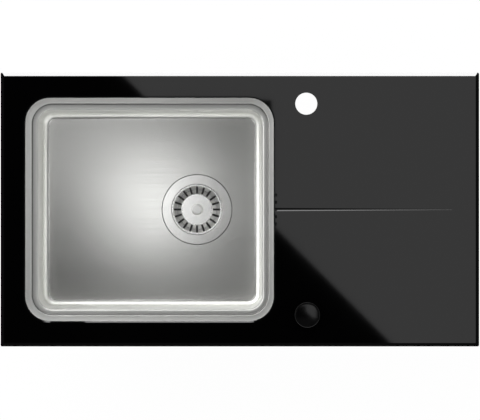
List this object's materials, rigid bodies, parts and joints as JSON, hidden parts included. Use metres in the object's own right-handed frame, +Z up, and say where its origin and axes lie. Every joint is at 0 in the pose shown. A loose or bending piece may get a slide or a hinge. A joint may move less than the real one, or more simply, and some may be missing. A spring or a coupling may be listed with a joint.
{
  "type": "kitchen sink",
  "caption": "Inset kitchen sink with a bevelled black glass top, a bonded stainless bowl, a remote-controlled basket strainer waste with overflow, and swinging worktop clips.",
  "frame": {"origin": "middle of the glass panel, on the worktop's surface under the foam seal", "axes": "+X along the panel towards the drainer, +Y to the back edge with the tap hole, +Z up"},
  "size_m": [0.76, 0.435, 0.3221],
  "materials": {
    "black_glass": "opaque black toughened glass, polished",
    "satin_steel": "satin stainless steel",
    "bright_steel": "polished stainless steel",
    "zinc_steel": "zinc-plated steel",
    "claw_steel": "zinc-plated pressed steel",
    "gloss_black": "gloss black moulding",
    "black_plastic": "matt black moulding",
    "white_plastic": "white polypropylene",
    "black_rubber": "black rubber",
    "grey_foam": "closed-cell foam strip",
    "black_adhesive": "cured silicone bead",
    "damping_pad": "bitumen damping sheet",
    "cable_jacket": "black cable sheath"
  },
  "bodies": {
    "sink": {"glass_top": "black_glass", "bowl": "satin_steel", "overflow_cover": "satin_steel", "waste_flange": "bright_steel", "overflow_screw": "bright_steel", "clamp_screw": "bright_steel", "clip_holders": "zinc_steel", "clip_screws": "zinc_steel", "cover_screws": "zinc_steel", "cable_ferrule": "zinc_steel", "drive_housing": "black_plastic", "housing_cover": "black_plastic", "knob_nut": "black_plastic", "cable_clips": "black_plastic", "waste_body": "white_plastic", "outlet_tail": "white_plastic", "overflow_head": "white_plastic", "overflow_pipe": "white_plastic", "overflow_nuts": "white_plastic", "flange_gasket": "black_rubber", "body_gasket": "black_rubber", "shaft_ring": "black_rubber", "overflow_gasket": "black_rubber", "knob_washer": "black_rubber", "housing_gasket": "black_rubber", "worktop_seal": "grey_foam", "bond_bead": "black_adhesive", "floor_pad": "damping_pad", "wall_pads": "damping_pad", "cable_sheath": "cable_jacket"},
    "knob": {"knob_cap": "gloss_black", "knob_spindle": "zinc_steel", "cable_spool": "black_plastic"},
    "lever": {"lever_shaft": "zinc_steel", "crank_arm": "black_plastic"},
    "pin": {"lift_pin": "bright_steel"},
    "wire": {"cable_wire": "zinc_steel"},
    "basket": {"basket_cup": "satin_steel", "basket_stem": "bright_steel", "basket_handle": "bright_steel", "basket_seal": "black_rubber"},
    "claw_back_left": {"claw_back_left": "claw_steel"},
    "claw_back_right": {"claw_back_right": "claw_steel"},
    "claw_left": {"claw_left": "claw_steel"},
    "claw_front_right": {"claw_front_right": "claw_steel"},
    "claw_front_left": {"claw_front_left": "claw_steel"},
    "claw_right": {"claw_right": "claw_steel"}
  },
  "joints": [
    {"name": "knob_turn", "type": "hinge", "parent": "sink", "child": "knob", "pos_m": [0.107, -0.167, 0.01], "axis": [0, 0, 1], "range_deg": [0, 90]},
    {"name": "lever_swing", "type": "hinge", "parent": "sink", "child": "lever", "pos_m": [-0.0495, 0, -0.23406], "axis": [0, 1, 0], "range_deg": [0, 24]},
    {"name": "pin_lift", "type": "slide", "parent": "sink", "child": "pin", "axis": [0, 0, 1], "range_m": [0, 0.00832]},
    {"name": "wire_pull", "type": "slide", "parent": "sink", "child": "wire", "axis": [1, 0, 0], "range_m": [0, 0.0104]},
    {"name": "basket_lift", "type": "slide", "parent": "pin", "child": "basket", "axis": [0, 0, 1], "range_m": [0, 0.12]},
    {"name": "claw_back_left_swing", "type": "hinge", "parent": "sink", "child": "claw_back_left", "pos_m": [-0.23, 0.1995, -0.034], "axis": [0, 0, 1], "range_deg": [0, 90]},
    {"name": "claw_back_right_swing", "type": "hinge", "parent": "sink", "child": "claw_back_right", "pos_m": [0.25, 0.1995, -0.034], "axis": [0, 0, 1], "range_deg": [0, 90]},
    {"name": "claw_left_swing", "type": "hinge", "parent": "sink", "child": "claw_left", "pos_m": [-0.362, 0, -0.034], "axis": [0, 0, 1], "range_deg": [0, 90]},
    {"name": "claw_front_right_swing", "type": "hinge", "parent": "sink", "child": "claw_front_right", "pos_m": [0.25, -0.1995, -0.034], "axis": [0, 0, 1], "range_deg": [0, 90]},
    {"name": "claw_front_left_swing", "type": "hinge", "parent": "sink", "child": "claw_front_left", "pos_m": [-0.23, -0.1995, -0.034], "axis": [0, 0, 1], "range_deg": [0, 90]},
    {"name": "claw_right_swing", "type": "hinge", "parent": "sink", "child": "claw_right", "pos_m": [0.362, 0, -0.034], "axis": [0, 0, 1], "range_deg": [0, 90]}
  ],
  "couplings": [
    {"joint": "lever_swing", "follows": "knob_turn", "ratio": 0.26667},
    {"joint": "pin_lift", "follows": "knob_turn", "m_per_rad": 0.0052944},
    {"joint": "wire_pull", "follows": "knob_turn", "m_per_rad": 0.006618}
  ]
}
